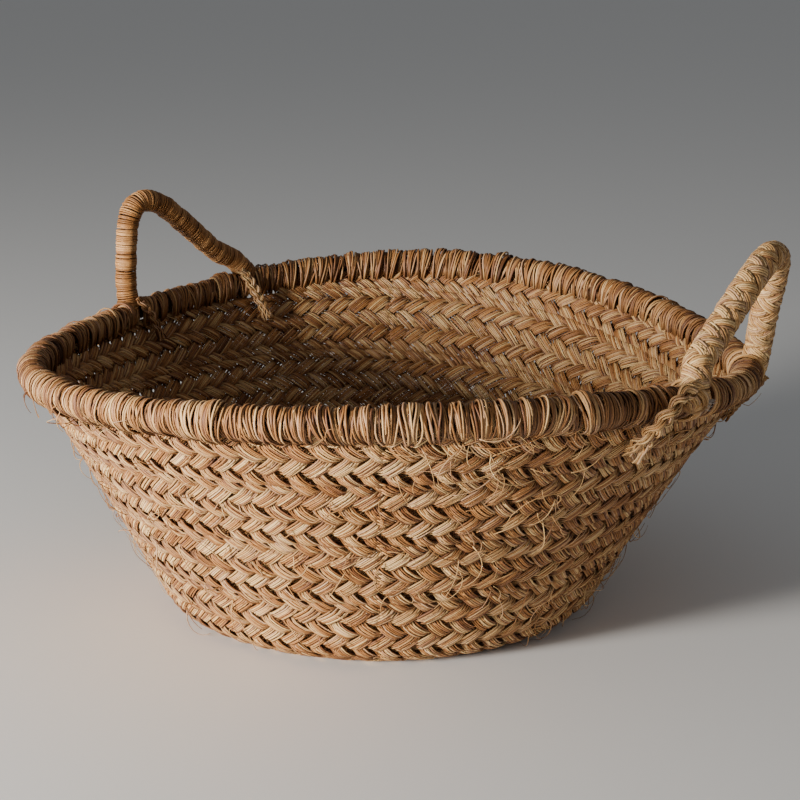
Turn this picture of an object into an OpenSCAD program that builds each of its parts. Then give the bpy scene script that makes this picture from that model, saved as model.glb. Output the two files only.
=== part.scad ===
// Round basket of coiled and sewn flat grass plait, with a bound rim and two rope handles.
// Z is up, the origin is at the centre of the base on the ground, and the handles stand towards +X and -X.

/* [Body] */
// Radius of the flat part of the base
base_radius = 118.8; // [105:0.2:130]
// Radius of the curve between base and wall
heel_radius = 20; // [14:1:30]
// Steepness of the wall just above the heel, in degrees
heel_angle = 61.4; // [56:0.1:66]
// Steepness of the wall at the rim, in degrees
rim_angle = 56.4; // [52:0.1:62]
// Length of the wall from heel to rim, measured up its slope
wall_length = 171; // [150:1:190]
// Thickness of the plait
plait_thickness = 6.4; // [5:0.1:8]
// Distance that the coil climbs in each turn, one width of plait
plait_pitch = 44.9; // [43:0.1:47]
// Direction in which the coil starts, in degrees from +X
coil_start = -56; // [-180:1:180]
// How level the coil lies at its start side, from 0 to 1
coil_level = 0.9; // [0:0.05:0.95]

/* [Stitching] */
// Diameter of the sewing cord between two turns
cord_diameter = 2.8; // [2:0.1:3.2]
// Clearance between the sewing cord and each edge of the plait
cord_clearance = 0.3; // [0.2:0.05:0.6]
// Radius of the knot at the centre of the base
knot_radius = 4.6; // [3:0.1:6]

/* [Rim] */
// How far the oval mouth reaches past its mean radius
rim_oval = 8.2; // [0:0.1:12]
// Direction of the long axis of the mouth
rim_oval_direction = 112.6; // [0:0.1:180]
// Tilt of the rim, as a rise above its mean height
rim_tilt = 5.8; // [0:0.1:10]
// Direction in which the tilted rim is highest
rim_tilt_direction = 299.8; // [0:0.1:360]
// Rise of the saddle in the rim
rim_saddle = 10.3; // [0:0.1:14]
// Direction in which the saddle is highest
rim_saddle_direction = 121.7; // [0:0.1:180]
// Rise of the three waves in the rim
rim_wave = 2.7; // [0:0.1:5]
// Direction of the crest of the first wave
rim_wave_direction = 106.8; // [0:0.1:120]
// Sideways lean of the whole wall at the rim
rim_shift = 7.3; // [0:0.1:12]
// Direction of that lean
rim_shift_direction = 34; // [0:1:360]
// Radius of the core rope
rim_rope_radius = 5; // [4:0.1:5.5]
// Half thickness of the bound rim
binding_half_width = 8.2; // [7.5:0.1:9]
// Half height of the bound rim
binding_half_height = 9; // [8:0.1:10]

/* [Handles] */
// Radius of the core rope of the handles
handle_rope_radius = 4.6; // [4:0.1:5]
// Radius over the wrap of the left handle
left_wrap_radius = 7.4; // [6.5:0.1:8]
// Radius over the wrap of the right handle
right_wrap_radius = 8.4; // [7:0.1:9]
// Radius of the tails of the handle ropes
tail_radius = 4; // [3:0.1:5]
// Width of the lashing round the rim at each foot
lashing_width = 18; // [12:1:22]

/* [Hidden] */

// Stations round one turn, points across the plait, and sides of the ropes
turn_stations = 48;
across_points = 6;
rope_sides = 8;
cord_sides = 6;
handle_sides = 10;

half_thickness = plait_thickness / 2;
heel_length = heel_radius * heel_angle * PI / 180;
wall_start = base_radius + heel_length;
rim_height_along = wall_start + wall_length;
wall_turning = (rim_angle - heel_angle) / wall_length;
turning_radians = wall_turning * PI / 180;
seam_half = cord_diameter / 2 + cord_clearance;
plait_top = rim_height_along - rim_rope_radius - 0.6;
knot_room = 0.6;

// Room round the rim rope, and the legs of the binding that grip the plait on both sides
rope_room = rim_rope_radius + 0.3;
grip = half_thickness + 0.3;
grip_leg = 1.4;
grip_depth = binding_half_height + 1.2;

// Band of each lashing, and the slot in it for the plait and the legs of the binding
lashing_inside = binding_half_height + 0.8;
lashing_outside = lashing_inside + 1.4;
lashing_slot = 2 * (binding_half_width - 0.8);

// Bare rope between an end knot and the wrap, and the room between rope and wrap
wrap_start = 1.4;
wrap_room = 0.25;

// Where the tapered ends of the coil stop, as whole stations of a turn
first_station = 18;
last_station = 27;

// Feet of the handles: direction in degrees, distance outside the rim line and height above it
left_near_foot = [179, 3, 19.2];
left_far_foot = [154.5, 1, 19.4];
right_near_foot = [-8, 2, 20.4];
right_far_foot = [30, 8, 19];

// Lean of each handle away from the basket, in degrees
left_lean = 0;
right_lean = 17;

// Line of each handle: share of the way from the near to the far foot, and height above the feet
left_line = [[0, 0], [0.01, 10], [0.04, 30], [0.08, 46], [0.16, 55], [0.27, 55], [0.4, 48.5], [0.6, 31],
    [0.83, 9.5], [1, 0]];
right_line = [[0, 0], [0.08, 9], [0.2, 23.5], [0.34, 41], [0.47, 53], [0.58, 57.5], [0.69, 54.5], [0.79, 41],
    [0.86, 24], [0.95, 7.5], [1, 0]];

// Profile of the basket wall: distance along it from the centre gives radius, height and steepness
function steepness(m) = m < base_radius ? 0
    : m < wall_start ? (m - base_radius) / heel_radius * 180 / PI
    : heel_angle + wall_turning * (m - wall_start);
function heel_part(m) = min(steepness(m), m < wall_start ? steepness(m) : heel_angle);
function wall_part(m) = max(m - wall_start, 0);
function profile_radius(m) = min(m, base_radius) + heel_radius * sin(heel_part(m))
    + (m > wall_start ? (sin(steepness(m)) - sin(heel_angle)) / turning_radians : 0);
function profile_height(m) = half_thickness + heel_radius * (1 - cos(heel_part(m)))
    + (m > wall_start ? (cos(heel_angle) - cos(steepness(m))) / turning_radians : 0);

// The round profile is warped into the oval, wavy rim, more so towards the top
function warp_share(m) = pow(wall_part(m) / wall_length, 1.3);
function rim_swell(t) = rim_oval * cos(2 * (t - rim_oval_direction));
function rim_rise(t) = rim_tilt * cos(t - rim_tilt_direction)
    + rim_saddle * cos(2 * (t - rim_saddle_direction)) + rim_wave * cos(3 * (t - rim_wave_direction));

// Point of the basket in direction t, at distance m along the profile, raised by lift from its middle
function basket_point(t, m, lift) = let (w = warp_share(m), s = steepness(m),
        r = profile_radius(m) + w * rim_swell(t) + lift * sin(s))
    [r * cos(t) + w * rim_shift * cos(rim_shift_direction),
     r * sin(t) + w * rim_shift * sin(rim_shift_direction),
     profile_height(m) + w * rim_rise(t) - lift * cos(s)];

// Distance along the profile of the outer edge of the coil after x turns: level at the start side
function coil_edge(x) = plait_pitch * (x - coil_level * sin(360 * x) / (2 * PI));
function coil_direction(x) = coil_start + 360 * x;

// Both edges of the plait after x turns
function inner_edge(x) = max(coil_edge(x - 1) + seam_half, knot_radius + knot_room);
function outer_edge(x) = min(coil_edge(x) - seam_half, plait_top);

// Share of the full thickness across the plait, thinner at its two edges
function plait_round(v) = 1 - 0.5 * pow(abs(2 * v - 1), 4);

// Outline across the plait after x turns: its outer face and back along its inner face
function plait_outline(x) = let (t = coil_direction(x), a = inner_edge(x), b = outer_edge(x))
    [for (side = [1, -1]) for (i = [0:across_points - 1])
        let (v = side > 0 ? i / (across_points - 1) : 1 - i / (across_points - 1))
        basket_point(t, a + (b - a) * v, side * half_thickness * plait_round(v))];

// Closed surface over a row of outlines, each with the same number of points
function side_faces(rows, n, closed) = [for (i = [0:(closed ? rows - 1 : rows - 2)]) for (j = [0:n - 1])
    let (a = i * n + j, b = i * n + (j + 1) % n, c = ((i + 1) % rows) * n + (j + 1) % n,
        d = ((i + 1) % rows) * n + j)
    each [[a, b, c], [a, c, d]]];
function end_faces(row, n, flip) = [for (j = [0:n / 2 - 2])
    let (a = row * n + j, b = row * n + j + 1, c = row * n + n - 2 - j, d = row * n + n - 1 - j)
    each (flip ? [[a, c, b], [a, d, c]] : [[a, b, c], [a, c, d]])];

module strip(outlines) {
    n = len(outlines[0]);
    rows = len(outlines);
    polyhedron([for (o = outlines) each o],
        concat(side_faces(rows, n, false), end_faces(0, n, true), end_faces(rows - 1, n, false)));
}

module ring(outlines) {
    n = len(outlines[0]);
    polyhedron([for (o = outlines) each o], side_faces(len(outlines), n, true));
}

// One turn of plait, from station a to station b of turn number k
module plait_turn(k, a = 0, b = turn_stations) {
    strip([for (i = [a:b]) plait_outline(k + i / turn_stations)]);
}

// Sewing cord along the seam outside turn number k
module stitching(k, a = 0, b = turn_stations) {
    strip([for (i = [a:b]) let (x = k + i / turn_stations, t = coil_direction(x))
        [for (j = [0:cord_sides - 1]) let (q = (j + 0.5) * 360 / cord_sides)
            basket_point(t, coil_edge(x) - cord_diameter / 2 * cos(q), cord_diameter / 2 * sin(q))]]);
}

function turn_directions() = [for (i = [0:turn_stations - 1]) coil_direction(i / turn_stations)];

// Round rope inside the rim
module rim_core() {
    ring([for (t = turn_directions()) [for (j = [0:rope_sides - 1]) let (q = j * 360 / rope_sides)
        basket_point(t, rim_height_along - rim_rope_radius * cos(q), rim_rope_radius * sin(q))]]);
}

// Outline of the binding: a rounded cap over the rope, open below where it grips the plait
function binding_outline() = concat(
    [for (q = [-120:24:120]) [binding_half_height * cos(q), binding_half_width * sin(q)]],
    [[-grip_depth, grip + grip_leg], [-grip_depth, grip]],
    [for (q = [135:-45:-135]) [rope_room * cos(q), rope_room * sin(q)]],
    [[-grip_depth, -grip], [-grip_depth, -grip - grip_leg]]);

module binding() {
    ring([for (t = turn_directions()) [for (p = binding_outline())
        basket_point(t, rim_height_along + p[0], p[1])]]);
}

// Vector helpers
function unit(v) = v / norm(v);
function ground_direction(t) = [cos(t), sin(t), 0];

// Frame of a handle: near foot, far foot, and its upward direction with the outward lean
function foot_point(foot) = basket_point(foot[0], rim_height_along, 0) + foot[1] * ground_direction(foot[0])
    + [0, 0, foot[2]];
function upright(along) = unit([0, 0, 1] - along * along[2]);
function outward(along) = cross(along, upright(along));
function handle_up(along, lean) = cos(lean) * upright(along) + sin(lean) * outward(along);

// Smooth line through a list of points, with steps points on each stretch
function knot_at(points, i) = points[max(0, min(len(points) - 1, i))];
function smooth_point(points, i, u) = let (a = knot_at(points, i - 1), b = points[i],
        c = knot_at(points, i + 1), d = knot_at(points, i + 2))
    0.5 * (2 * b + (c - a) * u + (2 * a - 5 * b + 4 * c - d) * u * u + (3 * b - a - 3 * c + d) * u * u * u);
function smooth_line(points, steps) = concat([for (i = [0:len(points) - 2]) for (j = [0:steps - 1])
    smooth_point(points, i, j / steps)], [points[len(points) - 1]]);

function handle_path(near, far, lean, line) = let (a = foot_point(near), b = foot_point(far),
        along = unit(b - a), up = handle_up(along, lean))
    [for (p = smooth_line(line, 3)) a + (b - a) * p[0] + up * p[1]];

// Round cross section of the given radius at point i of a path that lies in one plane
function path_tangent(path, i) = unit(path[min(i + 1, len(path) - 1)] - path[max(i - 1, 0)]);
function section(centre, tangent, across, radius, sides) = let (other = cross(tangent, across))
    [for (j = [0:sides - 1]) let (q = j * 360 / sides) centre + radius * (cos(q) * across + sin(q) * other)];
function plane_normal(path) = unit(cross(path[floor(len(path) / 3)] - path[0],
    path[len(path) - 1] - path[0]));

// Core rope of a handle, whose two ends are round knots centred on the feet
knob_steps = [-1, -0.8, -0.45, 0, 0.45, 0.75];
module handle_rope(path, knob) {
    across = plane_normal(path);
    last = len(path) - 1;
    first_run = path_tangent(path, 0);
    last_run = path_tangent(path, last);
    middle = [for (i = [0:last]) if (norm(path[i] - path[0]) > knob + 2
        && norm(path[i] - path[last]) > knob + 2) section(path[i], path_tangent(path, i), across,
            handle_rope_radius, handle_sides)];
    knob_section = function(centre, run, s) section(centre + run * knob * s, run, across,
        max(0.6, knob * sqrt(1 - s * s)), handle_sides);
    strip(concat([for (s = knob_steps) knob_section(path[0], first_run, s)], middle,
        [for (i = [len(knob_steps) - 1:-1:0]) knob_section(path[last], last_run, -knob_steps[i])]));
}

// Wrapped grass round a handle rope: an open pipe between the two end knots
module handle_wrap(path, radius) {
    across = plane_normal(path);
    last = len(path) - 1;
    clear = radius + wrap_start;
    kept = [for (i = [0:last]) if (norm(path[i] - path[0]) > clear && norm(path[i] - path[last]) > clear) i];
    hollow = handle_rope_radius + wrap_room;
    outer = [for (i = kept) section(path[i], path_tangent(path, i), across, radius, handle_sides)];
    inner = [for (i = [len(kept) - 1:-1:0]) section(path[kept[i]], path_tangent(path, kept[i]), across,
        hollow, handle_sides)];
    ring(concat(outer, inner));
}

// Lashing of a handle foot: a band round the rim, slotted where the plait passes through it
module lashing(foot) {
    t = foot[0];
    centre = basket_point(t, rim_height_along, 0);
    run = unit(basket_point(t + 1, rim_height_along, 0) - basket_point(t - 1, rim_height_along, 0));
    up_wall = unit(basket_point(t, rim_height_along, 0) - basket_point(t, rim_height_along - 5, 0));
    side = unit(cross(run, up_wall));
    height = cross(side, run);
    multmatrix([for (i = [0:2]) [height[i], side[i], run[i], centre[i]]])
    difference() {
        cylinder(r = lashing_outside, h = lashing_width, center = true, $fn = 96);
        cylinder(r = lashing_inside, h = lashing_width + 2, center = true, $fn = 96);
        translate([-lashing_outside, 0, 0])
            cube([2 * lashing_outside, lashing_slot, lashing_width + 2], center = true);
    }
}

// Tail of a handle rope, lying along the wall from one place to another with rounded ends
tail_ends = [0.35, 0.8, 1];
module tail(from, to, lift) {
    steps = 8;
    line = [for (i = [0:steps]) let (u = i / steps)
        basket_point(from[0] + (to[0] - from[0]) * u, from[1] + (to[1] - from[1]) * u, lift)];
    across = unit(cross(line[steps] - line[0], line[0]));
    strip([for (i = [0:steps]) section(line[i], path_tangent(line, i), across,
        tail_radius * tail_ends[min(i, steps - i, len(tail_ends) - 1)], rope_sides)]);
}

left_path = handle_path(left_near_foot, left_far_foot, left_lean, left_line);
right_path = handle_path(right_near_foot, right_far_foot, right_lean, right_line);
tail_gap = half_thickness + tail_radius + 0.6;

module centre_knot() {
    color("peru") cylinder(r = knot_radius, h = plait_thickness, $fn = 32);
}
module centre_turn() { color("burlywood") plait_turn(0, first_station); }
module base_turn() { color("burlywood") plait_turn(1); }
module heel_turn() { color("burlywood") plait_turn(2); }
module lower_wall_turn() { color("tan") plait_turn(3); }
module middle_wall_turn() { color("burlywood") plait_turn(4); }
module upper_wall_turn() { color("tan") plait_turn(5); }
module rim_turn() { color("burlywood") plait_turn(6); }
module end_turn() { color("tan") plait_turn(7, 0, last_station); }
module centre_stitching() { color("sienna") stitching(0, first_station); }
module base_stitching() { color("sienna") stitching(1); }
module heel_stitching() { color("sienna") stitching(2); }
module lower_stitching() { color("sienna") stitching(3); }
module middle_stitching() { color("sienna") stitching(4); }
module upper_stitching() { color("sienna") stitching(5); }
module rim_stitching() { color("sienna") stitching(6, 0, last_station); }
module rim_rope() { color("saddlebrown") rim_core(); }
module rim_binding() { color("peru") binding(); }
module left_handle_rope() { color("saddlebrown") handle_rope(left_path, left_wrap_radius); }
module left_handle_wrap() { color("peru") handle_wrap(left_path, left_wrap_radius); }
module left_handle_near_lashing() { color("tan") lashing(left_near_foot); }
module left_handle_far_lashing() { color("tan") lashing(left_far_foot); }
module left_handle_near_tail() {
    color("peru") tail([177, plait_top - 12], [176, plait_top - 26], -tail_gap);
}
module left_handle_far_tail() {
    color("peru") tail([151.8, plait_top - 12], [149.5, plait_top - 32], -tail_gap);
}
module right_handle_rope() { color("saddlebrown") handle_rope(right_path, right_wrap_radius); }
module right_handle_wrap() { color("peru") handle_wrap(right_path, right_wrap_radius); }
module right_handle_near_lashing() { color("tan") lashing(right_near_foot); }
module right_handle_far_lashing() { color("tan") lashing(right_far_foot); }
module right_handle_near_tail() {
    color("peru") tail([-18.8, plait_top - 12], [-19.2, plait_top - 30], tail_gap);
}
module right_handle_far_tail() {
    color("peru") tail([29, plait_top - 12], [28, plait_top - 30], tail_gap);
}

centre_knot();
centre_turn();
base_turn();
heel_turn();
lower_wall_turn();
middle_wall_turn();
upper_wall_turn();
rim_turn();
end_turn();
centre_stitching();
base_stitching();
heel_stitching();
lower_stitching();
middle_stitching();
upper_stitching();
rim_stitching();
rim_rope();
rim_binding();
left_handle_rope();
left_handle_wrap();
left_handle_near_lashing();
left_handle_far_lashing();
left_handle_near_tail();
left_handle_far_tail();
right_handle_rope();
right_handle_wrap();
right_handle_near_lashing();
right_handle_far_lashing();
right_handle_near_tail();
right_handle_far_tail();
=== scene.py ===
import math
import bpy
import numpy as np
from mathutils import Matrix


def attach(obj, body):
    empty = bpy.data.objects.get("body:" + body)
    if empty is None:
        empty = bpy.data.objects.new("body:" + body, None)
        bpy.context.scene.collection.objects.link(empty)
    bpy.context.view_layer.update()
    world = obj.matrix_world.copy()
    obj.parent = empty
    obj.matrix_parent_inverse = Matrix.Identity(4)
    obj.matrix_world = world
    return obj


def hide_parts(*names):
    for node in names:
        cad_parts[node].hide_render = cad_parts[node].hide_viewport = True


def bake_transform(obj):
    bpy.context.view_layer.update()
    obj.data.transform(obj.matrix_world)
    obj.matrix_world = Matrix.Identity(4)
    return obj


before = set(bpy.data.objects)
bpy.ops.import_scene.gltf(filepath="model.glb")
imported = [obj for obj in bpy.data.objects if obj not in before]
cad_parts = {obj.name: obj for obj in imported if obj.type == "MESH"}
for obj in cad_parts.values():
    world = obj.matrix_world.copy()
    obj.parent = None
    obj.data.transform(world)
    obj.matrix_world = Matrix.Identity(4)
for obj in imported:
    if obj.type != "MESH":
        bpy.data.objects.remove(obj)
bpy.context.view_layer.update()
print("frame loaded")

# Shape of the basket, as in the part: lengths in metres, angles in degrees
basket = {
    "baseRadius": 0.1188,
    "heelRadius": 0.020,  # rounding between base and wall
    "heelAngle": 61.4,  # steepness of the wall at the heel
    "rimAngle": 56.4,  # and at the rim
    "wallLength": 0.171,
    "halfThickness": 0.0032,
    "pitch": 0.0449,  # climb of the coil in one turn
    "coilStart": -56.0,
    "coilLevel": 0.9,  # 1 holds the coil level at the start of each turn, 0 lets it climb evenly
    "firstTurn": 18 / 48,  # where the tapered ends of the plait stop, in turns
    "lastTurn": 7 + 27 / 48,
    "warpPower": 1.3,  # how late the wall leaves the round shape of the base
    "ovalSize": 0.0082,
    "ovalDirection": 112.6,
    "tiltSize": 0.0058,
    "tiltDirection": 299.8,
    "saddleSize": 0.0103,
    "saddleDirection": 121.7,
    "waveSize": 0.0027,
    "waveDirection": 106.8,
    "shiftSize": 0.0073,
    "shiftDirection": 34.0,
    "knotRadius": 0.0046,
    "ropeRadius": 0.005,
    "ropeRoom": 0.0006,  # space between the edge of the plait and the rope of the rim
}
heelAngle = math.radians(basket["heelAngle"])
turning = (math.radians(basket["rimAngle"]) - heelAngle) / basket["wallLength"]
wallStart = basket["baseRadius"] + basket["heelRadius"] * heelAngle
rimAlong = wallStart + basket["wallLength"]
plaitTop = rimAlong - basket["ropeRadius"] - basket["ropeRoom"]
firstTurn = basket["firstTurn"]
lastTurn = basket["lastTurn"]


# Steepness of the wall at distance m: grows evenly round the heel, then eases slowly up the wall
def steepness(m):
    heel = np.clip((m - basket["baseRadius"]) / basket["heelRadius"], 0, heelAngle)
    return heel + turning * np.clip(m - wallStart, 0, None)


# Height added to the rim: one tilt, one saddle (two waves) and three smaller waves round the mouth
def rimRise(t):
    tilt = basket["tiltSize"] * np.cos(t - math.radians(basket["tiltDirection"]))
    saddle = basket["saddleSize"] * np.cos(2 * (t - math.radians(basket["saddleDirection"])))
    wave = basket["waveSize"] * np.cos(3 * (t - math.radians(basket["waveDirection"])))
    return tilt + saddle + wave


# Outward direction of the surface: level by the sine of the steepness, downward by its cosine
def outward(t, m):
    s = steepness(m)
    return np.stack([np.sin(s) * np.cos(t), np.sin(s) * np.sin(t), -np.cos(s)], -1)


# Point in direction t at distance m along the profile (flat base, round heel, slightly curved wall),
# pushed out by lift and warped towards the oval, wavy rim by a power of the height
def basketPoint(t, m, lift):
    heel = np.clip((m - basket["baseRadius"]) / basket["heelRadius"], 0, heelAngle)
    wall = np.clip(m - wallStart, 0, None)
    s = heelAngle + turning * wall
    radius = np.minimum(m, basket["baseRadius"]) + basket["heelRadius"] * np.sin(heel)
    radius = radius + (np.sin(s) - math.sin(heelAngle)) / turning
    height = basket["halfThickness"] + basket["heelRadius"] * (1 - np.cos(heel))
    height = height + (math.cos(heelAngle) - np.cos(s)) / turning
    share = (wall / basket["wallLength"]) ** basket["warpPower"]
    radius = radius + share * basket["ovalSize"] * np.cos(2 * (t - math.radians(basket["ovalDirection"])))
    steep = steepness(m)
    radius = radius + lift * np.sin(steep)
    shift = share * basket["shiftSize"]
    turn = math.radians(basket["shiftDirection"])
    x = radius * np.cos(t) + shift * math.cos(turn)
    y = radius * np.sin(t) + shift * math.sin(turn)
    return np.stack([x, y, height + share * rimRise(t) - lift * np.cos(steep)], -1)


# Edge of the coil after x turns: one pitch a turn, held level on the start side by a sine
def coilEdge(x):
    return basket["pitch"] * (x - basket["coilLevel"] * np.sin(2 * np.pi * x) / (2 * np.pi))


# Direction of the coil after x turns: the start direction and one full circle a turn
def coilDirection(x):
    return math.radians(basket["coilStart"]) + 2 * np.pi * x


# Smooth random value along each row: random heights at whole steps, joined by smooth steps
def valueNoise(table, row, along):
    low = np.floor(along).astype(int)
    part = along - low
    part = part * part * (3 - 2 * part)
    size = table.shape[1]
    return table[row, low % size] * (1 - part) + table[row, (low + 1) % size] * part


# Vectors divided by their own lengths
def unit(v):
    return v / np.maximum(np.linalg.norm(v, axis=-1, keepdims=True), 1e-12)


# Closed tubes: an oval outline of a few sides carried along each row of centres, square to the row, with
# its thickness towards up; each point also gets the blade's values for the material, painted shade among them
def tubes(centre, up, halfWide, halfThick, tone, depth, sides=4):
    rows, count = centre.shape[:2]
    run = unit(np.gradient(centre, axis=1))
    side = unit(np.cross(up, run))
    top = np.cross(run, side)
    angle = (np.arange(sides) + 0.5) * 2 * np.pi / sides
    wide = np.broadcast_to(halfWide, (rows, count))[..., None, None]
    thick = np.broadcast_to(halfThick, (rows, count))[..., None, None]
    across = np.cos(angle)[:, None]
    over = np.sin(angle)[:, None]
    points = centre[:, :, None] + wide * across * side[:, :, None] + thick * over * top[:, :, None]
    step = np.linalg.norm(np.diff(centre, axis=1), axis=-1)
    along = np.concatenate([np.zeros((rows, 1)), np.cumsum(step, axis=1)], axis=1)
    spread = (rows, count, sides)
    return {
        "points": points.reshape(-1, 3),
        "rows": rows,
        "count": count,
        "sides": sides,
        "tone": np.broadcast_to(np.broadcast_to(tone, (rows, count))[..., None], spread).ravel(),
        "depth": np.broadcast_to(np.broadcast_to(depth, (rows, count))[..., None], spread).ravel(),
        "along": np.broadcast_to(along[..., None], spread).ravel(),
        "seed": np.repeat(np.arange(rows) * 0.618 % 1.0, count * sides),  # golden steps, far apart
        "across": np.tile(np.cos(angle) / np.abs(np.cos(angle)).max(), rows * count),
    }


# Faces of a set of tubes as vertex numbers: four-sided along the tube, one cap at each end
def tubeFaces(rows, count, sides):
    index = np.arange(rows * count * sides).reshape(rows, count, sides)
    after = np.roll(index, -1, axis=2)
    quads = np.stack([index[:, :-1], after[:, :-1], after[:, 1:], index[:, 1:]], -1).reshape(-1, 4)
    caps = np.concatenate([index[:, 0, ::-1], index[:, -1]])
    return quads, caps


# One mesh from several sets of tubes, with its values for the material on every vertex
def makePiece(name, parts, material, nodes, body="basket"):
    points = np.concatenate([p["points"] for p in parts])
    loops = []
    sizes = []
    first = 0
    for p in parts:
        quads, caps = tubeFaces(p["rows"], p["count"], p["sides"])
        for faces in (quads, caps):
            loops.append((faces + first).ravel())
            sizes.append(np.full(len(faces), faces.shape[1]))
        first += len(p["points"])
    loops = np.concatenate(loops)
    sizes = np.concatenate(sizes)
    mesh = bpy.data.meshes.new(name)
    mesh.vertices.add(len(points))
    mesh.vertices.foreach_set("co", points.astype(np.float32).ravel())
    mesh.loops.add(len(loops))
    mesh.loops.foreach_set("vertex_index", loops.astype(np.int32))
    mesh.polygons.add(len(sizes))
    starts = np.concatenate([[0], np.cumsum(sizes)[:-1]]).astype(np.int32)
    mesh.polygons.foreach_set("loop_start", starts)
    mesh.update(calc_edges=True)
    mesh.polygons.foreach_set("use_smooth", np.ones(len(sizes), bool))
    for key in ("tone", "depth", "along", "seed", "across"):
        attribute = mesh.attributes.new("blade" + key.capitalize(), "FLOAT", "POINT")
        attribute.data.foreach_set("value", np.concatenate([p[key] for p in parts]).astype(np.float32))
    piece = bpy.data.objects.new(name, mesh)
    bpy.context.scene.collection.objects.link(piece)
    mesh.materials.append(material)
    if isinstance(body, str):
        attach(piece, body)
    else:
        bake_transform(piece)
    if nodes:
        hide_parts(*nodes)
    print(name, int((sizes - 2).sum()), "triangles")
    return piece


# Colour given as it looks on a screen, made linear by the usual power of 2.4
def linear(red, green, blue):
    return tuple(((c / 255 + 0.055) / 1.055) ** 2.4 for c in (red, green, blue)) + (1.0,)


grassLook = {
    "blotchScale": 55.0,  # along the blade
    "blotchAmount": 0.5,
    "stainScale": 16.0,  # over the whole basket
    "speckScale": 420.0,
    "speckAmount": 0.28,
    "blushFrom": 0.62,  # share of blades with no pink in them
    "blushAmount": 0.6,
    "blushDark": (150, 102, 78),
    "blushPale": (222, 178, 150),
    "sideShadeFrom": 0.55,  # where the painted shade at the sides of a blade starts, as a share of its half width
    "sideShadeAmount": 0.62,
    # colour multiplied in as painted shade
    "paintedShadeColour": (0.10, 0.045, 0.018, 1.0),
    "roughness": 0.68,
    "blotchGloss": -0.25,
}


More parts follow.
